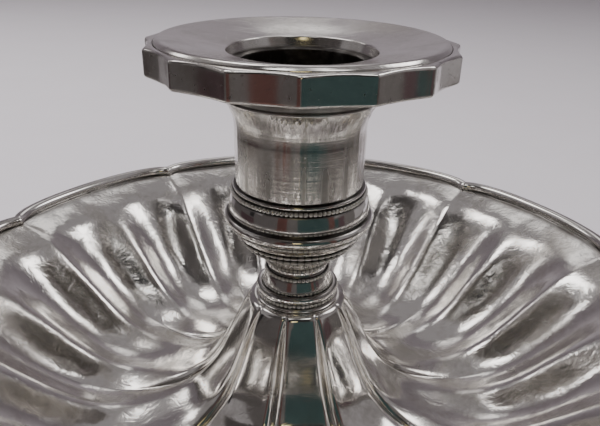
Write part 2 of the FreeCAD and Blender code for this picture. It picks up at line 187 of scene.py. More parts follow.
# ---- materials ------------------------------------------------------------------------------------
class Nodes:
    """Short hand for building a material's node tree."""

    def __init__(self, name):
        self.material = bpy.data.materials.new(name)
        self.material.use_nodes = True
        self.tree = self.material.node_tree
        self.tree.nodes.clear()
        self.shader = self.add("ShaderNodeBsdfPrincipled")
        output = self.add("ShaderNodeOutputMaterial")
        self.link(self.shader.outputs["BSDF"], output.inputs["Surface"])
        self.coords = self.add("ShaderNodeTexCoord").outputs["Object"]

    def add(self, kind, **values):
        node = self.tree.nodes.new(kind)
        for key, value in values.items():
            if hasattr(node, key):
                setattr(node, key, value)
            else:
                node.inputs[key.replace("_", " ")].default_value = value
        return node

    def link(self, source, target):
        self.tree.links.new(source, target)

    def mapped(self, scale, turn=(0, 0, 0)):
        node = self.add("ShaderNodeMapping")
        node.inputs["Scale"].default_value = scale
        node.inputs["Rotation"].default_value = turn
        self.link(self.coords, node.inputs["Vector"])
        return node.outputs["Vector"]

    def noise(self, vector, scale, detail=3.0, roughness=0.5, distortion=0.0):
        node = self.add("ShaderNodeTexNoise", Scale=scale, Detail=detail, Roughness=roughness,
                        Distortion=distortion)
        self.link(vector, node.inputs["Vector"])
        return node.outputs["Fac"]

    def ramp(self, value, low, high, start=0.0, end=1.0):
        node = self.add("ShaderNodeMapRange", interpolation_type="SMOOTHSTEP")
        for key, number in (("From Min", low), ("From Max", high), ("To Min", start), ("To Max", end)):
            node.inputs[key].default_value = number
        self.link(value, node.inputs["Value"])
        return node.outputs["Result"]

    def math(self, operation, first, second):
        node = self.add("ShaderNodeMath", operation=operation)
        for socket, value in zip(node.inputs, (first, second)):
            if isinstance(value, (int, float)):
                socket.default_value = value
            else:
                self.link(value, socket)
        return node.outputs[0]

    def mix(self, factor, first, second):
        node = self.add("ShaderNodeMix", data_type="RGBA")
        self.link(factor, node.inputs["Factor"])
        for socket, value in ((node.inputs[6], first), (node.inputs[7], second)):
            if isinstance(value, tuple):
                socket.default_value = (*value, 1)
            else:
                self.link(value, socket)
        return node.outputs[2]

    def attribute(self, name):
        return self.add("ShaderNodeAttribute", attribute_name=name).outputs["Fac"]

    def bump(self, height, strength, distance, normal=None):
        node = self.add("ShaderNodeBump", Distance=distance)
        self.link(height, node.inputs["Height"])
        if isinstance(strength, (int, float)):
            node.inputs["Strength"].default_value = strength
        else:
            self.link(strength, node.inputs["Strength"])
        if normal:
            self.link(normal, node.inputs["Normal"])
        return node.outputs["Normal"]


SILVER = (0.86, 0.84, 0.81)
DULL_SILVER = (0.60, 0.57, 0.53)
TARNISH_AND_SHADE = (0.045, 0.038, 0.034)


def silver(name, roughness, scratches, tarnish_and_shade=0.0, streaks=0.0, lines=0.0, pits=0.0, brushed=0.0,
           squiggles=0.0):
    """Polished silver with cloudy wear, fine scratches, tarnished blotches, and painted shade where the mesh
    is marked for it.
    roughness is its range from bright to cloudy places. streaks run up and down, lines run round the
    axis, pits are small dark specks, squiggles are bent scratches that spare what is marked as polished,
    and brushed draws reflections out."""
    nodes = Nodes(name)
    shader = nodes.shader
    shader.inputs["Metallic"].default_value = 1.0
    cloud = nodes.noise(nodes.coords, 90, 5, 0.6, 0.4)
    fine = nodes.noise(nodes.coords, 900, 3, 0.6)
    dull = nodes.ramp(nodes.math("ADD", cloud, nodes.math("MULTIPLY", fine, 0.25)), 0.52, 0.86)
    color = nodes.mix(dull, SILVER, DULL_SILVER)
    # painted shade from the mesh's marks, patchy with the clouds; the tarnished blotches and pits below join
    # it
    marked = nodes.math("MULTIPLY", nodes.attribute("tarnish_and_shade"), nodes.ramp(cloud, 0.2, 0.6, 0.6, 1.0))
    if tarnish_and_shade:
        blotch = nodes.ramp(nodes.noise(nodes.mapped((1, 1, 1.7)), 70, 6, 0.62, 1.2), 0.66, 0.72)
        marked = nodes.math("MAXIMUM", marked, nodes.math("MULTIPLY", blotch, tarnish_and_shade))
    if pits:
        pit = nodes.ramp(nodes.noise(nodes.coords, 1500, 2, 0.5), 0.66, 0.72)
        marked = nodes.math("MAXIMUM", marked, nodes.math("MULTIPLY", pit, pits))
    color = nodes.mix(marked, color, TARNISH_AND_SHADE)
    nodes.link(color, shader.inputs["Base Color"])
    rough = nodes.ramp(cloud, 0.35, 0.75, *roughness)
    rough = nodes.math("ADD", rough, nodes.math("MULTIPLY", marked, 0.3))
    hammered_share = 1.0
    if squiggles:
        hammered_share = nodes.math("SUBTRACT", 1.0, nodes.attribute("polish"))
        rough = nodes.math("MULTIPLY", rough, nodes.ramp(hammered_share, 0, 1, 0.45, 1.0))
    nodes.link(rough, shader.inputs["Roughness"])

    normal = nodes.bump(nodes.noise(nodes.coords, 260, 2, 0.5), 0.25, 0.00006)
    if squiggles:
        bent = nodes.noise(nodes.coords, 420, 3, 0.55, 1.6)
        normal = nodes.bump(bent, nodes.math("MULTIPLY", hammered_share, squiggles), 0.00010, normal)
    if scratches:
        for turn, scale in (((0.3, 0.5, 0.9), (30, 2200, 400)), ((1.2, 0.2, 2.3), (45, 1800, 600))):
            hair = nodes.noise(nodes.mapped(scale, turn), 1.0, 2, 0.6, 0.1)
            normal = nodes.bump(nodes.ramp(hair, 0.62, 0.75), scratches, 0.00002, normal)
    if streaks:
        tall = nodes.noise(nodes.mapped((1, 1, 0.06)), 1100, 3, 0.7)
        normal = nodes.bump(tall, streaks, 0.00008, normal)
    if lines:
        flat = nodes.noise(nodes.mapped((0.02, 0.02, 1)), 2600, 2, 0.6)
        normal = nodes.bump(flat, lines, 0.00004, normal)
    nodes.link(normal, shader.inputs["Normal"])
    if brushed:
        tangent = nodes.add("ShaderNodeTangent", direction_type="RADIAL", axis="Z")
        nodes.link(tangent.outputs["Tangent"], shader.inputs["Tangent"])
        shader.inputs["Anisotropic"].default_value = brushed
        shader.inputs["Anisotropic Rotation"].default_value = 0.25
    return nodes.material


def steel(name):
    nodes = Nodes(name)
    nodes.shader.inputs["Metallic"].default_value = 1.0
    grain = nodes.noise(nodes.mapped((1, 1, 12)), 700, 4, 0.6)
    color = nodes.mix(nodes.ramp(grain, 0.3, 0.8), (0.46, 0.45, 0.43), (0.26, 0.24, 0.22))
    nodes.link(color, nodes.shader.inputs["Base Color"])
    nodes.link(nodes.ramp(grain, 0.3, 0.8, 0.28, 0.5), nodes.shader.inputs["Roughness"])
    nodes.link(nodes.bump(grain, 0.3, 0.00005), nodes.shader.inputs["Normal"])
    return nodes.material


def mark_painted_shade(piece, value):
    """Stores value(x, y, z) of every vertex as painted shade, for the material to darken."""
    places = np.zeros(len(piece.data.vertices) * 3)
    piece.data.vertices.foreach_get("co", places)
    most = 1.7                # over 1, so that the material's clouds cannot clear the darkest places
    mark(piece, "tarnish_and_shade", np.clip(value(*places.reshape(-1, 3).T), 0, most))


dish_silver = silver("silver_hammered", (0.12, 0.28), tarnish_and_shade=0.5, scratches=0.3, squiggles=0.6)
rim_silver = silver("silver_wire", (0.08, 0.22), scratches=0.2)
turned_silver = silver("silver_turned", (0.06, 0.18), scratches=0.1, lines=0.2)
beaded_silver = silver("silver_beaded", (0.26, 0.4), scratches=0.0)
socket_silver = silver("silver_socket", (0.14, 0.24), scratches=0.0, streaks=0.3, lines=0.55, brushed=0.3)
nozzle_silver = silver("silver_nozzle", (0.12, 0.22), tarnish_and_shade=0.12, scratches=0.25, pits=0.45)
fastener_steel = steel("steel_fastener")


# ---- dish -------------------------------------------------------------------------------------------
def folded(share):
    """Half sine across a lobe, with its sharp ends blunted."""
    low = RIDGE_SOFTNESS
    return (np.sqrt(np.sin(np.pi * share) ** 2 + low ** 2) - low) / (math.sqrt(1 + low ** 2) - low)


def ridge_share(angle):
    return 1 - folded(((angle - FIRST_RIDGE) % LOBE_STEP) / LOBE_STEP)


def flute_share(angle):
    off = np.abs(2 * (((angle - FIRST_CREASE) % MAJOR_STEP) / MAJOR_STEP) - 1)
    return 1 + FLUTE_FLATNESS * off ** 2 - (1 + FLUTE_FLATNESS) * off ** FLUTE_POWER


def cusp_share(angle):
    away = (angle - FIRST_RIDGE) % MAJOR_STEP
    away = np.minimum(away, MAJOR_STEP - away)
    return np.exp(-away / CUSP_SPREAD)


def spline_rows(rows, count):
    """Rows read from the clamped cubic B-spline that has the CAD rows as its poles."""
    poles = np.array(rows, float)
    spans = len(poles) - 3
    knots = np.concatenate([[0] * 3, np.arange(spans + 1), [spans] * 3]).astype(float)
    samples = np.linspace(0, spans, count)
    result = []
    for at in samples:
        k = min(int(at), spans - 1) + 3
        work = [poles[k - 3 + j].copy() for j in range(4)]
        for level in range(1, 4):
            for j in range(3, level - 1, -1):
                low, high = knots[j + k - 3], knots[j + 1 + k - level]
                share = (at - low) / (high - low)
                work[j] = (1 - share) * work[j - 1] + share * work[j]
        result.append(work[3])
    return np.array(result)


def hammered(points, normals, lumps, dents, facets):
    """Moves points along their normals: long soft lumps, dents, and facets left by the hammer. The cone
    is smoothest."""
    smooth_radius, fade, least = 0.022, 0.028, 0.12
    moved = points.copy()
    for index, point in enumerate(points):
        place = Vector(point)
        lift = lumps * noise.noise(place * 55) + dents * noise.noise(place * 230)
        near = noise.voronoi(place * 210)[0][0]
        share = min(max((place.xy.length - smooth_radius) / fade, 0.0), 1.0)
        moved[index] += normals[index] * (lift + facets * near * near) * (least + (1 - least) * share)
    return moved


def dish_surface(rows, angles, drop):
    """Points of the dish, dropped by a thickness below its upper surface, and their normals."""
    profile = spline_rows(rows, len(drop))
    along = np.gradient(profile[:, :2], axis=0)
    along /= np.linalg.norm(along, axis=1)[:, None]
    normal_r, normal_h = -along[:, 1][:, None], along[:, 0][:, None]
    radius, height, flute, ridge, cusp = (profile[:, i][:, None] for i in range(5))
    lift = flute * FLUTE_BULGE * flute_share(angles) + ridge * RIDGE_HEIGHT * ridge_share(angles)
    lift = lift - drop[:, None]
    radius = radius + lift * normal_r - cusp * CUSP_DEPTH * cusp_share(angles)
    height = height + lift * normal_h
    turn = np.radians(angles)
    points = np.stack([radius * np.sin(turn), radius * np.cos(turn), height + 0 * turn], -1) * MM
    normals = np.stack([normal_r * np.sin(turn), normal_r * np.cos(turn), normal_h + 0 * turn], -1)
    return points, normals


def build_dish():
    columns, upper_rows, lower_rows = 600, 124, 26
    angles = FIRST_RIDGE + np.arange(columns)[None, :] * 360.0 / columns
    upper, upper_normals = dish_surface(DISH_ROWS, angles, np.zeros(upper_rows))
    lower, _ = dish_surface(DISH_ROWS, angles, np.full(lower_rows, SHEET))
    upper = hammered(upper.reshape(-1, 3), upper_normals.reshape(-1, 3), lumps=0.17 * MM, dents=0.075 * MM,
                     facets=0.13 * MM)
    turn = np.radians(angles[0])

    def flat_ring(radius, height):
        return np.stack([radius * np.sin(turn), radius * np.cos(turn), 0 * turn + height], -1)[None]

    hole, top = TIE_HOLE_RADIUS * MM, CONE_TOP * MM
    centre = [flat_ring(hole, top - SHEET * MM), flat_ring(hole, top),
              flat_ring((CONE_TOP_RADIUS - 0.8) * MM, top)]
    points = np.concatenate(centre + [upper.reshape(upper_rows, columns, 3), lower[::-1]])
    faces = grid_faces(len(points), columns)
    points = points.reshape(-1, 3)
    dish = new_object("lobed_dish", points.tolist(), faces.tolist(), dish_silver, "base")

    def value(x, y, z):
        """Painted shade along the rim wire and round the foot of the stem."""
        radius = np.hypot(x, y) / MM
        by_rim = np.exp(-((radius - 75.2) / 0.8) ** 2)
        by_stem = np.exp(-((radius - 9.0) / 0.5) ** 2)
        return 0.85 * by_rim + 0.5 * by_stem

    mark_painted_shade(dish, value)
    polished_radius, fade = 32, 10        # the cone and the flat round it are worn smooth
    radius = np.hypot(points[:, 0], points[:, 1]) / MM
    mark(dish, "polish", 0.8 * np.clip((polished_radius - radius) / fade, 0, 1))
    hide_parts("dish")


def build_rim():
    columns = 720
    outer_row, inner_row = DISH_ROWS[-1], DISH_ROWS[-2]
    slope = math.atan2(outer_row[1] - inner_row[1], outer_row[0] - inner_row[0])
    steps = 14
    section = [(0.0, 0.0)]
    section += [(0.5 - 0.5 * math.cos(math.pi * t / steps), math.sin(math.pi * t / steps) ** 0.8)
                for t in range(1, steps)]
    section += [(1.0, 0.0), (0.5, 0.0)]

    def shape(across, up, turn):
        angle = np.degrees(turn)
        wobble = 1 + 0.03 * np.sin(7 * turn) + 0.02 * np.sin(23 * turn + 1)
        inward = across * RIM_WIDTH
        lift = up * RIM_HEIGHT * wobble + GAP
        radius = outer_row[0] - inward * math.cos(slope) - lift * math.sin(slope)
        level = outer_row[1] - inward * math.sin(slope) + lift * math.cos(slope)
        return (radius - CUSP_DEPTH * cusp_share(angle)) * MM, level * MM

    rim = ring_mesh("rim_half_round", section, columns, rim_silver, "base", shape)

    def value(x, y, z):
        """Painted shade along the wire's inner edge, where it meets the dish."""
        return np.clip(1.6 - (z / MM - 27.9) / 0.45, 0, 1) * (np.hypot(x, y) < 77.0 * MM) * 0.8

    mark_painted_shade(rim, value)
    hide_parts("rim_wire")


def build_foot():
    radius, bottom, top = span("foot_ring")
    inner = radius - FOOT_WIDTH * MM
    middle = (bottom + top) / 2
    corners = [(inner + 0.3 * MM, bottom), (radius - 0.3 * MM, bottom), (radius, middle),
               (radius - 0.6 * MM, top), (inner + 0.6 * MM, top), (inner, middle)]
    foot = ring_mesh("foot_wire", rounded(corners, 0.8 * MM), 240, rim_silver, "base")
    # painted shade along the top of the foot wire, under the dish
    mark_painted_shade(foot, lambda x, y, z: 0.7 * (z > top - 0.3 * MM))
    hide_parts("foot_ring")


# ---- beaded rings -----------------------------------------------------------------------------------
BEADS = {                     # number of beads round the ring, and how deep the cuts between them are
    "foot_bead": (58, 0.7),
    "knop_bead_low": (54, 0.7),
    "knop_bead_high": (50, 0.75),
    "waist_bead": (48, 0.75),
    "taper_bead_low": (50, 0.65),
    "taper_bead_high": (58, 0.65),
    "bowl_bead_low": (88, 0.7),
    "bowl_bead_high": (96, 0.6),
    "coarse_bead": (96, 0.7),
}


def build_beads(node, count, depth, seed):
    """One wire milled into beads, each a little different from its neighbours."""
    outer, bottom, top = span(node)
    middle = (bottom + top) / 2
    co = node_points(node)
    inner = float(np.hypot(co[:, 0], co[:, 1]).min())
    stand = outer - inner
    steps, per_bead = 10, 10
    section = [(inner, bottom)]
    section += [(inner + stand * math.sin(math.pi * t / steps),
                 middle - (top - bottom) / 2 * math.cos(math.pi * t / steps))
                for t in range(1, steps)]
    section += [(inner, top)]
    random = np.random.default_rng(seed)
    size = random.uniform(0.75, 1.0, count)
    shift = random.uniform(-0.12, 0.12, count)

    def shape(radius, height, turn):
        place = turn / (2 * math.pi) * count
        bead = np.floor(place).astype(int) % count
        across = place - np.floor(place)
        across = np.clip(across + shift[bead] * np.sin(np.pi * across), 0, 1)
        full = np.sqrt(np.clip(np.sin(np.pi * across), 0, 1))
        swell = (1 - depth) + depth * full * size[bead]
        return inner + (radius - inner) * swell, middle + (height - middle) * (0.8 + 0.2 * full)

    ring = ring_mesh(node + "_milled", section, count * per_bead, beaded_silver, "base", shape)

    def value(x, y, z):
        """Painted shade between the beads."""
        out = (np.hypot(x, y) - inner) / stand
        return 1.45 - 2.2 * out

    mark_painted_shade(ring, value)
    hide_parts(node)


# ---- turned pieces ----------------------------------------------------------------------------------
def turned_piece(name, node, corners, fillet, material, body="base", *, dark, columns=288, longest=0.7):
    """Piece turned from corners in millimetres, which stands for a CAD node. dark is its painted shade."""
    outline = rounded([tuple(value * MM for value in corner) for corner in corners], fillet * MM)
    piece = ring_mesh(name, subdivided(outline, longest * MM), columns, material, body)
    mark_painted_shade(piece, dark)
    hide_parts(node)


def arc_corners(start, middle, end, steps=8):
    """Points of the arc through three (radius, height) points, without its ends."""
    (ax, ay), (bx, by), (cx, cy) = start, middle, end
    a, b, c = ax * ax + ay * ay, bx * bx + by * by, cx * cx + cy * cy
    d = 2 * (ax * (by - cy) + bx * (cy - ay) + cx * (ay - by))
    ux = (a * (by - cy) + b * (cy - ay) + c * (ay - by)) / d
    uy = (a * (cx - bx) + b * (ax - cx) + c * (bx - ax)) / d
    radius = math.hypot(ax - ux, ay - uy)
    first, mid, last = (math.atan2(y - uy, x - ux) for x, y in (start, middle, end))
    sweep = (last - first) % (2 * math.pi)
    if (mid - first) % (2 * math.pi) > sweep:
        sweep -= 2 * math.pi
    turns = [first + sweep * i / steps for i in range(1, steps)]
    return [(ux + radius * math.cos(turn), uy + radius * math.sin(turn)) for turn in turns]


def ring_levels(node):
    """Seat radius, foot and top, in millimetres, of a ring that sits on a knop."""
    co = node_points(node)
    radii = np.hypot(co[:, 0], co[:, 1])
    return radii.min() / MM, co[:, 2].min() / MM, co[:, 2].max() / MM


def painted_groove_shade(levels, depth):
    """Painted shade in the grooves at some heights, in millimetres."""
    def value(x, y, z):
        height = z / MM
        result = 0 * x
        for level in levels:
            result = np.maximum(result, np.exp(-((height - level) / depth) ** 2))
        return 0.9 * result
    return value


def build_collar():
    _, low, high = (v / MM for v in span("stem_collar"))
    middle = (low + high) / 2
    outline = [(TIE_HOLE_RADIUS, low), (8.7, low), (8.72, low + 0.22),
               *arc_corners((8.5, low + 0.24), (7.95, middle), (8.2, high)),
               (8.2, high), (TIE_HOLE_RADIUS, high)]
    turned_piece("collar_turned", "stem_collar", outline, 0.08, turned_silver,
                 dark=painted_groove_shade([middle + 0.2], 0.3))


def build_lower_knop():
    foot_seat, foot_low, foot_high = ring_levels("foot_bead")
    low_seat, low_low, low_high = ring_levels("knop_bead_low")
    high_seat, high_low, high_high = ring_levels("knop_bead_high")
    waist_seat, waist_low, waist_high = ring_levels("waist_bead")
    outline = [(TIE_HOLE_RADIUS, foot_low), (foot_seat - GAP, foot_low), (foot_seat - GAP, foot_high),
               *arc_corners((foot_seat, foot_high + GAP), (8.3, (foot_high + low_low) / 2),
                            (low_seat + 0.4, low_low - GAP), 12),
               (low_seat + 0.4, low_low - GAP), (low_seat - GAP, low_low - GAP),
               (low_seat - GAP, low_high + GAP), (7.05, low_high + GAP),
               *arc_corners((7.05, low_high + GAP), (6.7, (low_high + high_low) / 2), (6.25, high_low - GAP)),
               (6.25, high_low - GAP), (high_seat - GAP, high_low - GAP), (high_seat - GAP, high_high + GAP),
               *arc_corners((high_seat, high_high + GAP), (5.75, (high_high + waist_low) / 2),
                            (waist_seat, waist_low - GAP), 6),
               (waist_seat - GAP, waist_low), (waist_seat - GAP, waist_high), (TIE_HOLE_RADIUS, waist_high)]
    dark = painted_groove_shade([foot_high + 0.05, low_low - 0.05, low_high + 0.1, high_low - 0.1,
                         high_high + 0.15, waist_low - 0.15], 0.16)
    turned_piece("lower_knop_turned", "lower_knop", outline, 0.05, turned_silver, dark=dark)


def build_upper_knop():
    under_seat, under_low, under_high = ring_levels("bowl_bead_low")
    over_seat, over_low, over_high = ring_levels("bowl_bead_high")
    coarse_seat, coarse_low, coarse_high = ring_levels("coarse_bead")
    low_seat, low_low, low_high = ring_levels("taper_bead_low")
    high_seat, high_low, high_high = ring_levels("taper_bead_high")
    torus_seat, _, torus_high = ring_levels("knop_torus")
    neck_seat, neck_low, _ = ring_levels("neck_ring")
    _, foot, top = (v / MM for v in span("upper_knop"))
    outline = [(TIE_HOLE_RADIUS, foot), (6.3, foot),
               *arc_corners((6.3, foot), (8.0, (foot + low_low) / 2 + 0.1), (low_seat, low_low)),
               (low_seat - GAP, low_low), (low_seat - GAP, low_high),
               (high_seat - GAP, high_low), (high_seat - GAP, high_high),
               *arc_corners((high_seat, high_high), (12.55, (high_high + under_low) / 2),
                            (under_seat, under_low)),
               (under_seat - GAP, under_low), (under_seat - GAP, under_high + GAP),
               (torus_seat - GAP, under_high + GAP), (torus_seat - GAP, torus_high + GAP),
               (over_seat + 0.1, torus_high + GAP), (over_seat + 0.1, over_low - GAP),
               (over_seat - GAP, over_low - GAP), (over_seat - GAP, over_high + GAP),
               (13.45, over_high + GAP, 0.12),
               *arc_corners((13.5, over_high + 0.2), (13.3, (over_high + coarse_low) / 2),
                            (12.8, coarse_low - GAP), 14),
               (12.8, coarse_low - GAP), (coarse_seat - GAP, coarse_low - GAP),
               (coarse_seat - GAP, coarse_high), (neck_seat - GAP, neck_low - GAP),
               (neck_seat - GAP, top), (TIE_HOLE_RADIUS, top)]
    dark = painted_groove_shade([low_high + 0.1, high_low - 0.1, high_high + 0.1, under_low - 0.1, under_high + 0.1,
                         over_high + 0.08, coarse_low - 0.05, coarse_high + 0.05], 0.16)
    turned_piece("upper_knop_turned", "upper_knop", outline, 0.05, turned_silver,
                 dark=dark, columns=256)


def build_half_rounds():
    """The two smooth mouldings. bulge is the share of the height over which the outside curves away."""
    for node, name, bulge in (("knop_torus", "knop_half_round", 0.32), ("neck_ring", "neck_half_round", 0.5)):
        seat, low, high = ring_levels(node)
        outer = span(node)[0] / MM
        start = outer - bulge * (high - low)
        section = [(seat, low), (start, low),
                   *arc_corners((start, low), (outer, (low + high) / 2), (start, high), 16),
                   (start, high), (seat, high)]
        turned_piece(name, node, section, 0.02, turned_silver,
                     dark=painted_groove_shade([low + 0.02, high - 0.02], 0.14))


# ---- socket -----------------------------------------------------------------------------------------
def waves(turn, orders, seed):
    """Irregular ripple round the axis, between about -1 and 1, that closes on itself."""
    random = np.random.default_rng(seed)
    total = 0 * turn
    for order in orders:
        total = total + random.uniform(0.5, 1) * np.sin(order * turn + random.uniform(0, 2 * math.pi))
    return total / math.sqrt(len(orders))


def build_socket():
    _, low, high = (v / MM for v in span("socket_tube"))
    outer = SOCKET_BORE + SOCKET_WALL
    flare_low, flare_middle = high - 7.0, high - 2.8
    mouth = (SOCKET_FLARE, high - 0.25)
    corners = [(SOCKET_BORE, low), (outer - 0.1, low), (outer, low + 0.3), (outer + 0.12, flare_low, 3),
               *arc_corners((outer + 0.12, flare_low), (outer + 0.6, flare_middle), mouth, 14),
               mouth, (SOCKET_FLARE, high), (SOCKET_BORE + 0.6, high), (SOCKET_BORE, high - 0.6)]
    outline = subdivided(rounded(corners, 0.12, 5), 0.4)

    def planished(radius, height, turn):
        """Long upright ripples on the outside, and short dents under the flare."""
        outside = np.clip((radius - SOCKET_BORE - 0.3) / 0.2, 0, 1)
        outside = outside * np.clip((height - low - 0.3) / 0.5, 0, 1)
        outside = outside * np.clip((high - 0.5 - height) / 0.4, 0, 1)
        drift = 0.5 * waves(turn, range(3, 9), 4) * (height - low) / (high - low)
        long_ripple = waves(turn + 0.01 * drift, range(11, 60, 3), 1)
        near_top = np.exp(-(np.maximum(high - 1.6 - height, 0) / 1.5) ** 2)
        near_foot = np.exp(-((height - low - 1.2) / 1.3) ** 2)
        dent = waves(turn, range(60, 120, 5), 2) * np.sin(height * 1.9 + 2 * waves(turn, range(9, 25, 3), 3))
        ring = np.sin(height * 9.0) + 0.6 * np.sin(height * 15.7 + 1)
        lift = 0.030 * long_ripple + 0.065 * dent * (0.04 + near_top + 0.5 * near_foot) + 0.0012 * ring
        return (radius + outside * lift) * MM, height * MM

    tube = ring_mesh("socket_cylinder", outline, 500, socket_silver, "base", planished)

    def painted_shade_marks(x, y, z):
        """Painted shade inside the bore and round the foot, and painted dark reflections in upright streaks
        outside, stronger lower down.
        """
        deep = 0.8 * (np.hypot(x, y) < (SOCKET_BORE + 0.1) * MM)
        columns = np.clip(0.35 + 0.9 * waves(np.arctan2(x, y), range(9, 44, 3), 6), 0, 1)
        painted_streaks = 0.42 * columns * (0.35 + 0.65 * np.clip((high - 5 - z / MM) / 6, 0, 1))
        return np.maximum(np.maximum(deep, painted_streaks), 0.5 * np.exp(-((z / MM - low) / 0.3) ** 2))

    mark_painted_shade(tube, painted_shade_marks)
    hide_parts("socket_tube")


def build_nozzle():
    disc_radius, _, disc_top = (v / MM for v in span("nozzle_disc"))
    sleeve_outer, sleeve_low, sleeve_high = (v / MM for v in span("nozzle_sleeve"))
    _, under_low, under_high = (v / MM for v in span("nozzle_under_ring"))
    sleeve_inner = sleeve_outer - SLEEVE_WALL
    # outlines run through their corners, some with a fillet of their own: the disc's edge, its dished top,
    # the lip, the candle hole, and the hub under it
    disc = [(disc_radius, DISC_SEAT + GAP), (disc_radius, disc_top - 0.62, 0.15),
            (disc_radius - 0.5, disc_top - 0.12, 0.2), (disc_radius - 1.0, disc_top, 0.35),
            (19.0, 78.7, 3.0), (15.0, 77.85, 1.2), (13.15, 77.5, 0.22), (13.0, 76.8, 0.3),
            (12.8, 76.2, 0.3), (12.6, 75.6, 0.1), (sleeve_inner, 75.5), (sleeve_inner, sleeve_high + GAP),
            (HUB_RADIUS, sleeve_high + GAP), (HUB_RADIUS, DISC_SEAT + GAP)]

    def inside(x, y, z):
        """Painted shade in the candle hole, darkest low down."""
        radius = np.hypot(x, y) / MM
        deep = np.clip((76.0 - z / MM) / 0.4, 0, 1)
        return (radius < LIP_RADIUS) * (0.12 + 0.9 * deep)

    def under_plate_shade(x, y, z):
        # painted shade on the ring under the drip plate, darker towards its foot
        return 0.75 * np.clip((under_high - z / MM) / 1.5, 0.5, 1)

    def in_bore(x, y, z):
        # painted shade in the sleeve's bore, and lighter painted shade outside, where the socket hides it
        return np.where(np.hypot(x, y) / MM < sleeve_inner + 0.1, 1.05, 0.4)

    turned_piece("nozzle_disc_turned", "nozzle_disc", disc, 0.1, nozzle_silver, "nozzle",
                 dark=inside, columns=360, longest=0.6)
    under = [(sleeve_outer + GAP, under_low), (14.4, under_low), (14.42, under_low + 0.25, 0.1),
             (14.25, under_low + 0.45, 0.1), (14.5, under_low + 0.6), (14.65, under_low + 1.4, 0.2),
             *arc_corners((14.6, under_low + 1.5), (14.95, under_low + 3.0), (17.0, under_high)),
             (17.0, under_high), (sleeve_outer + GAP, under_high)]
    turned_piece("nozzle_ring_turned", "nozzle_under_ring", under, 0.12, nozzle_silver,
                 "nozzle", dark=under_plate_shade)
    sleeve = [(sleeve_inner, sleeve_low), (sleeve_outer, sleeve_low), (sleeve_outer, sleeve_high),
              (sleeve_inner, sleeve_high)]
    turned_piece("nozzle_sleeve_tube", "nozzle_sleeve", sleeve, 0.12, nozzle_silver,
                 "nozzle", dark=in_bore, columns=240)
    build_band(disc_radius)


def band_edge(angle, random):
    """How far the drip plate's hollow-sided outline reaches at an angle. random tells its sides apart."""
    step = 360.0 / BAND_SIDES
    side = np.floor(angle / step).astype(int) % BAND_SIDES
    across = (angle % step) / step
    half_chord = BAND_CORNER * math.sin(math.radians(step / 2))
    along = (2 * across - 1) * half_chord
    depth = BAND_CORNER * math.cos(math.radians(step / 2)) - BAND_HOLLOW * (1 - random[side])
    flat = BAND_CORNER * math.cos(math.radians(step / 2)) / np.cos(np.radians((across - 0.5) * step))
    hollow = depth * (1 - (along / half_chord) ** 2)
    near = np.minimum(across, 1 - across) * step
    blunt = 0.10 * np.exp(-(near / 0.8) ** 2)
    return flat - hollow - blunt


def build_band(disc_radius):
    low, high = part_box("nozzle_band")
    low, high = low.z / MM, high.z / MM
    inner = disc_radius + 0.03            # the recess clears the disc
    corners = [(BAND_MEAN, low, BAND_FOOT_ROUND), (BAND_MEAN, high, BAND_TOP_ROUND),
               (inner + 0.12, high, 0.1), (inner, high - 0.15, 0.1),
               (inner, DISC_SEAT, 0.05), (HUB_HOLE_RADIUS, DISC_SEAT, 0.05), (HUB_HOLE_RADIUS, low, 0.05)]
    outline = subdivided(rounded(corners, 0.1, 8), 0.5)
    random = np.random.default_rng(5).uniform(-0.004, 0.004, BAND_SIDES)

    def stretched(radius, height, turn):
        """The band's outer part follows the shaped edge, and its hub hole stays round."""
        share = np.clip((radius - inner) / (BAND_MEAN - inner), 0, 1)
        return (radius + share * (band_edge(np.degrees(turn), random) - BAND_MEAN)) * MM, height * MM

    band = ring_mesh("nozzle_band_shaped", outline, 800, nozzle_silver, "nozzle", stretched)

    def painted_shade_marks(x, y, z):
        # painted shade in the groove round the disc's edge and under the drip plate
        radius = np.hypot(x, y) / MM
        under = (z / MM < low + 0.25) * (radius < BAND_HOLLOW - 0.7)
        return np.maximum(0.8 * np.exp(-((radius - inner) / 0.12) ** 2), 0.75 * under)

    mark_painted_shade(band, painted_shade_marks)
    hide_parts("nozzle_band")


# ---- stage, lights and camera ------------------------------------------------------------------------
def plain_material(name, color):
    nodes = Nodes(name)
    grain = nodes.noise(nodes.coords, 30, 4, 0.6)
    shade = nodes.mix(grain, tuple(c * 0.97 for c in color), tuple(min(1, c * 1.03) for c in color))
    nodes.link(shade, nodes.shader.inputs["Base Color"])
    nodes.shader.inputs["Roughness"].default_value = 0.9
    nodes.shader.inputs["Specular IOR Level"].default_value = 0.2
    return nodes.material


def glow(name, color, strength):
    """Material of a lamp's face: it gives light of its own, as far as its mesh is marked to shine."""
    nodes = Nodes(name)
    nodes.link(nodes.mix(nodes.noise(nodes.coords, 12, 3, 0.5), (0.05, 0.05, 0.05), (0.1, 0.1, 0.1)),
               nodes.shader.inputs["Base Color"])
    nodes.shader.inputs["Emission Color"].default_value = (*color, 1)
    shine = nodes.math("MULTIPLY", nodes.attribute("shine"), strength)
    nodes.link(shine, nodes.shader.inputs["Emission Strength"])
    return nodes.material


def plane(name, corners, material):
    mesh = bpy.data.meshes.new(name)
    mesh.from_pydata(corners, [], [(0, 1, 2, 3)])
    piece = bpy.data.objects.new(name, mesh)
    bpy.context.collection.objects.link(piece)
    mesh.materials.append(material)


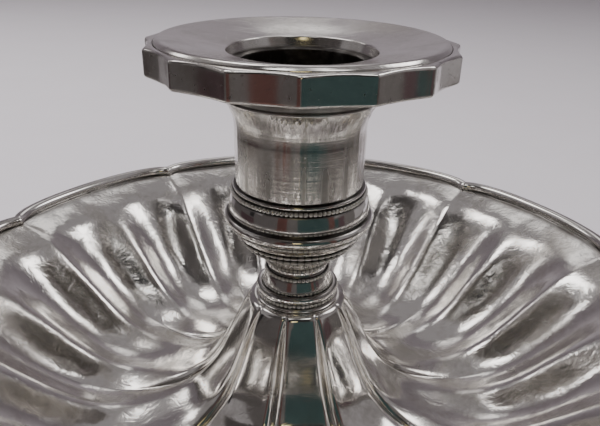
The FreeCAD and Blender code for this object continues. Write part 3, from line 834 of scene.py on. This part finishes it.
def card_rows(name, points, columns, material):
    """Card of rows of points, which only reflections see: it throws no shadow and lights nothing."""
    rows = len(points) // columns
    faces = [(r * columns + i, r * columns + i + 1, (r + 1) * columns + i + 1, (r + 1) * columns + i)
             for r in range(rows - 1) for i in range(columns - 1)]
    mesh = bpy.data.meshes.new(name)
    mesh.from_pydata([tuple(p) for p in points], [], faces)
    mesh.materials.append(material)
    card = bpy.data.objects.new(name, mesh)
    bpy.context.collection.objects.link(card)
    card.visible_camera = card.visible_diffuse = card.visible_shadow = False
    return card


def curved_card(name, radius, first, last, bottom, top, material):
    """Upright card bent round the axis between two angles."""
    columns = 25
    turns = np.radians(np.linspace(first, last, columns))
    points = [(radius * math.sin(t), radius * math.cos(t), h) for h in (bottom, top) for t in turns]
    return card_rows(name, points, columns, material)


def flat_card(name, inner, outer, first, last, level, material):
    """Sector of a flat ring round the axis."""
    columns = 37
    turns = np.radians(np.linspace(first, last, columns))
    points = [(r * math.sin(t), r * math.cos(t), level) for r in (inner, outer) for t in turns]
    card_rows(name, points, columns, material)


def area_light(name, place, target, size, power):
    """Soft light for the floor and the backdrop. The silver reflects the lamp faces instead."""
    data = bpy.data.lights.new(name, "AREA")
    data.shape = "RECTANGLE"
    data.size, data.size_y = size
    data.energy = power
    light = bpy.data.objects.new(name, data)
    light.location = place
    light.rotation_euler = (Vector(target) - Vector(place)).to_track_quat("-Z", "Y").to_euler()
    light.visible_glossy = False
    bpy.context.collection.objects.link(light)


def softbox(name, place, size, strength):
    """Bright face of a lamp, as reflections see it, which fades towards its edges."""
    forward = -place.normalized()
    right = forward.cross(Vector((0, 0, 1))).normalized()
    up = right.cross(forward)
    columns = 15
    steps = np.linspace(-1, 1, columns)
    points = [place + right * (x * size[0] / 2) + up * (y * size[1] / 2) for y in steps for x in steps]
    card = card_rows(name, points, columns, glow(name + "_glow", (1.0, 0.97, 0.96), strength))
    across, along = np.meshgrid(steps, steps)
    fade = np.clip(1.25 * (1 - across ** 4) * (1 - along ** 4) - 0.25 * np.hypot(across, along), 0, 1)
    mark(card, "shine", fade.ravel())


def build_floor():
    reach, back, high = 3.0, 1.1, 1.2
    pale = plain_material("floor_pale", (0.53, 0.495, 0.525))
    plane("floor", [(-reach, -reach, 0), (reach, -reach, 0), (reach, reach, 0), (-reach, reach, 0)], pale)
    plane("backdrop", [(-reach, back, 0), (reach, back, 0), (reach, back, high), (-reach, back, high)], pale)


def build_flags():
    """Dark and coloured cards that give the silver something to reflect, as the room does."""
    green = plain_material("flag_green", (0.030, 0.052, 0.050))
    brown = plain_material("flag_brown", (0.085, 0.042, 0.036))
    purple = plain_material("flag_purple", (0.060, 0.040, 0.042))
    grey = plain_material("flag_grey", (0.092, 0.086, 0.082))
    mat = plain_material("flag_mat_grey", (0.095, 0.088, 0.084))
    light = plain_material("flag_light", (0.24, 0.23, 0.23))
    black = plain_material("flag_black", (0.02, 0.02, 0.02))
    # name, distance from the axis, first and last angle, foot, top, material
    for name, radius, first, last, bottom, top, material in (
            ("flag_middle", 0.20, 134, 181, 0, 0.28, green),
            ("flag_left", 0.20, 197, 211, 0, 0.24, brown),
            ("flag_right", 0.20, 125, 134, 0, 0.20, brown),
            ("flag_green_edge", 0.20, 118, 125, 0, 0.08, green),
            ("flag_brown_edge", 0.20, 107, 118, 0, 0.08, purple),
            ("flag_purple", 0.20, 250, 278, 0, 0.045, purple),
            ("flag_dark", 0.20, 251, 259, 0.055, 0.105, black),
            ("flag_wide", 0.23, 85, 300, 0, 0.10, grey),
            ("flag_side_left", 0.25, 298, 330, 0, 0.09, light),
            ("flag_side_right", 0.25, 48, 86, 0, 0.09, light),
            ("flag_close", 0.116, 125, 250, 0.10, 0.30, mat),
            ("flag_phone", 0.114, 150, 205, 0.10, 0.24, black),
            ("flag_tall", 0.24, 122, 238, 0.10, 0.42, grey),
            ("flag_roof", 0.45, 105, 255, 0.40, 2.4, grey)):
        curved_card(name, radius, first, last, bottom, top, material)
    # name, inner and outer radius, first and last angle, height, material
    flat_card("flag_mat", 0.082, 0.25, 60, 315, 0.001, mat)
    flat_card("flag_mat_green", 0.10, 0.22, 144, 178, 0.002, green)
    flat_card("flag_mat_brown", 0.10, 0.22, 199, 215, 0.002, brown)


def build_lights():
    """Room light, soft lights for the floor, and the bright faces that the silver reflects."""
    lamp = glow("lamp_glow", (1.0, 0.84, 0.42), 2.2)
    strip = curved_card("lamp_strip", 0.112, 176, 187, 0.100, 0.124, lamp)
    mark(strip, "shine", np.ones(len(strip.data.vertices)))
    world = bpy.data.worlds.new("studio")
    world.use_nodes = True
    background = world.node_tree.nodes["Background"]
    background.inputs["Color"].default_value = (0.62, 0.585, 0.60, 1)
    background.inputs["Strength"].default_value = 0.42
    bpy.context.scene.world = world
    # name, place, target, size, power
    for name, place, target, size, power in (
            ("overhead", (-0.10, 0.02, 0.75), (0, 0, 0), (0.28, 0.20), 6.3),
            ("window_left", (-0.75, 0.25, 0.55), (0, 0, 0.03), (0.35, 0.45), 5.8),
            ("window_right", (0.8, 0.1, 0.5), (0, 0, 0.03), (0.2, 0.5), 1.4)):
        area_light(name, place, target, size, power)
    face_distance = 0.8
    # name, angle, elevation, size, strength
    for name, turn, rise, size, strength in (
            ("face_left", 306, 64, (0.34, 0.36), 4.2),
            ("face_left_low", 300, 37, (0.16, 0.22), 3.0),
            ("face_right", 66, 49, (0.34, 0.30), 4.0),
            ("face_top", 140, 78, (0.16, 0.14), 1.5)):
        turn, rise = math.radians(turn), math.radians(rise)
        way = Vector((math.sin(turn) * math.cos(rise), math.cos(turn) * math.cos(rise), math.sin(rise)))
        softbox(name, way * face_distance, size, strength)
    # a strip above and in front of the drip plate, dimmed where the cone's middle flute would mirror it
    across = np.linspace(-0.045, 0.065, 23)
    near = card_rows("face_shoulder", [(x, y, 0.2) for y in (-0.05, -0.08) for x in across], len(across),
                     glow("face_shoulder_glow", (1.0, 0.985, 0.97), 3.5))
    mark(near, "shine", np.tile(1 - 0.9 * np.exp(-((across - 0.006) / 0.02) ** 4), 2))
    softbox("face_back", Vector((0.02, 1.0, 0.85)), (0.55, 0.6), 1.2)


def build_camera():
    """The camera stands in front of the candlestick, just above its drip plate, and looks down."""
    distance, height = 0.105, 0.0965
    pitch, yaw, roll = (math.radians(angle) for angle in (25.56, 0.14, 1.39))
    forward = Vector((math.cos(pitch) * math.sin(yaw), math.cos(pitch) * math.cos(yaw), -math.sin(pitch)))
    right = forward.cross(Vector((0, 0, 1))).normalized()
    up = right.cross(forward)
    turn = Matrix((right, up, -forward)).transposed() @ Matrix.Rotation(roll, 3, "Z")
    data = bpy.data.cameras.new("camera")
    data.sensor_width = 36.0
    data.lens = 36.0
    data.clip_start = 0.005
    camera = bpy.data.objects.new("camera", data)
    camera.matrix_world = Matrix.Translation((0, -distance, height)) @ turn.to_4x4()
    bpy.context.collection.objects.link(camera)
    bpy.context.scene.camera = camera


build_dish()
build_rim()
build_foot()
for number, (node, (count, depth)) in enumerate(BEADS.items()):
    build_beads(node, count, depth, number + 11)
build_collar()
build_lower_knop()
build_upper_knop()
build_half_rounds()
build_socket()
build_nozzle()
for node, material in (("tie_screw", fastener_steel), ("tie_washer", fastener_steel),
                       ("tie_nut", fastener_steel), ("socket_floor", socket_silver)):
    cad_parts[node].data.materials.clear()
    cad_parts[node].data.materials.append(material)
build_floor()
build_flags()
build_lights()
build_camera()
